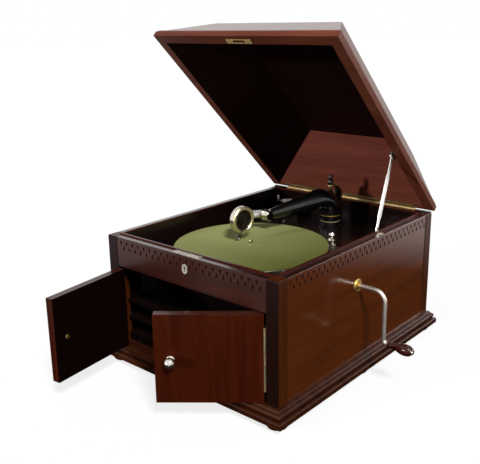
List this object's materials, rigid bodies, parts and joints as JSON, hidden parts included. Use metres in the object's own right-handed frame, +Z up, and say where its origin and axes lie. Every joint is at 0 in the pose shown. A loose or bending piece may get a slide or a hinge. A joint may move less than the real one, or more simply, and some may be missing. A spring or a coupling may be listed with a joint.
{
  "type": "tabletop gramophone",
  "caption": "Wind-up tabletop gramophone with a hipped lid on a stay, doors over an internal horn, a felt turntable, tone arm with gooseneck and sound box, and a winding crank.",
  "frame": {"origin": "on the floor under the middle of the case", "axes": "+Z up, front with the doors at -Y, crank side at +X"},
  "size_m": [0.5505, 0.7225, 0.6502],
  "materials": {
    "mahogany": "french polish",
    "dark_wood": "stained",
    "nickel": "nickel plate",
    "brass": "polished",
    "steel": "satin",
    "black_enamel": "gloss enamel",
    "iron": "painted",
    "green_felt": "felt",
    "mica": "ribbed",
    "ring_brass": "pale brass"
  },
  "bodies": {
    "case": {"corner_posts": "mahogany", "left_side_panel": "mahogany", "right_side_panel": "mahogany", "back_panel": "mahogany", "front_rail": "mahogany", "bottom_board": "dark_wood", "plinth_moulding": "mahogany", "feet": "dark_wood", "rim_bead": "mahogany", "motor_board": "mahogany", "board_bearers": "dark_wood", "needle_shelf": "mahogany", "needle_cup": "nickel", "keyhole_escutcheon": "nickel", "lid_lock": "nickel", "hinge_case_leaves": "brass", "hinge_pins": "brass", "stay_guide": "nickel", "horn_throat": "iron", "horn": "dark_wood", "louvre_slats": "dark_wood", "motor_frame": "iron", "crank_escutcheon": "nickel", "tonearm_base": "black_enamel", "pivot_bracket": "black_enamel", "pivot_finial": "brass"},
    "lid": {"lid_rim": "mahogany", "lid_slopes": "mahogany", "lid_top_panel": "mahogany", "strike_plate": "brass", "lid_hinge_leaf": "brass", "stay_bracket": "nickel"},
    "stay": {"lid_stay": "nickel"},
    "left_door": {"left_door": "mahogany", "left_door_knob": "nickel", "left_hinge_leaf": "brass"},
    "right_door": {"right_door": "mahogany", "right_door_knob": "nickel", "right_hinge_leaf": "brass"},
    "lock_bolt": {"lock_bolt": "brass"},
    "turntable": {"platter": "nickel", "turntable_felt": "green_felt", "spindle": "nickel"},
    "barrel": {"spring_barrel": "steel"},
    "middle_arbor": {"middle_arbor": "steel"},
    "governor": {"governor": "brass"},
    "winding_arbor": {"winding_arbor": "steel"},
    "crank": {"crank_rod": "nickel", "winding_shaft": "steel"},
    "crank_handle": {"crank_handle": "dark_wood"},
    "tone_arm": {"tonearm": "black_enamel"},
    "sound_arm": {"gooseneck": "nickel", "soundbox_shell": "nickel", "soundbox_ring": "ring_brass", "diaphragm": "mica", "stylus_bar": "nickel", "needle": "steel"},
    "needle_screw": {"needle_screw": "nickel"},
    "brake": {"brake_lever": "nickel"},
    "regulator": {"speed_regulator": "nickel"}
  },
  "joints": [
    {"name": "lid_hinge", "type": "hinge", "parent": "case", "child": "lid", "pos_m": [0, 0.263, 0.2615], "axis": [1, 0, 0], "range_deg": [0, 44]},
    {"name": "stay_pivot", "type": "hinge", "parent": "lid", "child": "stay", "pos_m": [0.183, 0.12871, 0.39883], "axis": [1, 0, 0], "range_deg": [-107, 0]},
    {"name": "left_door_hinge", "type": "hinge", "parent": "case", "child": "left_door", "pos_m": [-0.1828, -0.2627, 0], "axis": [0, 0, 1], "range_deg": [-27.4, 82.6]},
    {"name": "right_door_hinge", "type": "hinge", "parent": "case", "child": "right_door", "pos_m": [0.1828, -0.2627, 0], "axis": [0, 0, 1], "range_deg": [-39.3, 70]},
    {"name": "lock_bolt_slide", "type": "slide", "parent": "case", "child": "lock_bolt", "axis": [0, 0, 1], "range_m": [0, 0.007]},
    {"name": "turntable_spin", "type": "hinge", "parent": "case", "child": "turntable", "pos_m": [-0.004, -0.075, 0.217], "axis": [0, 0, 1], "continuous": true},
    {"name": "barrel_spin", "type": "hinge", "parent": "case", "child": "barrel", "pos_m": [0.048, -0.024, 0.205], "axis": [0, 0, 1], "continuous": true},
    {"name": "middle_spin", "type": "hinge", "parent": "case", "child": "middle_arbor", "pos_m": [-0.00403, -0.0375, 0.205], "axis": [0, 0, 1], "continuous": true},
    {"name": "governor_spin", "type": "hinge", "parent": "case", "child": "governor", "pos_m": [0.01975, -0.075, 0.178], "axis": [0, 1, 0], "continuous": true},
    {"name": "crank_turn", "type": "hinge", "parent": "case", "child": "crank", "pos_m": [0.2085, -0.024, 0.184], "axis": [1, 0, 0], "continuous": true},
    {"name": "winding_arbor_spin", "type": "hinge", "parent": "case", "child": "winding_arbor", "pos_m": [0.048, -0.024, 0.205], "axis": [0, 0, 1], "continuous": true},
    {"name": "handle_spin", "type": "hinge", "parent": "crank", "child": "crank_handle", "pos_m": [0.265, -0.024, 0.086], "axis": [1, 0, 0], "continuous": true},
    {"name": "arm_swing", "type": "hinge", "parent": "case", "child": "tone_arm", "pos_m": [0.016, 0.168, 0.217], "axis": [0, 0, 1], "range_deg": [-5, 43]},
    {"name": "neck_throw", "type": "hinge", "parent": "tone_arm", "child": "sound_arm", "pos_m": [-0.03933, 0.02001, 0.26557], "axis": [-0.9945, 0.1045, 0], "range_deg": [0, 132.5]},
    {"name": "needle_screw_turn", "type": "hinge", "parent": "sound_arm", "child": "needle_screw", "pos_m": [-0.03153, -0.07604, 0.24556], "axis": [-0.0981, -0.9334, 0.3453], "continuous": true},
    {"name": "brake_swing", "type": "hinge", "parent": "case", "child": "brake", "pos_m": [0.09202, 0.06213, 0.217], "axis": [0, 0, 1], "range_deg": [-2.5, 12]},
    {"name": "regulator_turn", "type": "hinge", "parent": "case", "child": "regulator", "pos_m": [0.166, -0.148, 0.217], "axis": [0, 0, 1], "range_deg": [0, 3]}
  ],
  "couplings": [
    {"joint": "stay_pivot", "follows": "lid_hinge", "ratio": -2.4317},
    {"joint": "middle_spin", "follows": "turntable_spin", "ratio": -0.25},
    {"joint": "barrel_spin", "follows": "turntable_spin", "ratio": 0.048611},
    {"joint": "governor_spin", "follows": "turntable_spin", "ratio": 13.333},
    {"joint": "winding_arbor_spin", "follows": "crank_turn", "ratio": 0.33333}
  ]
}
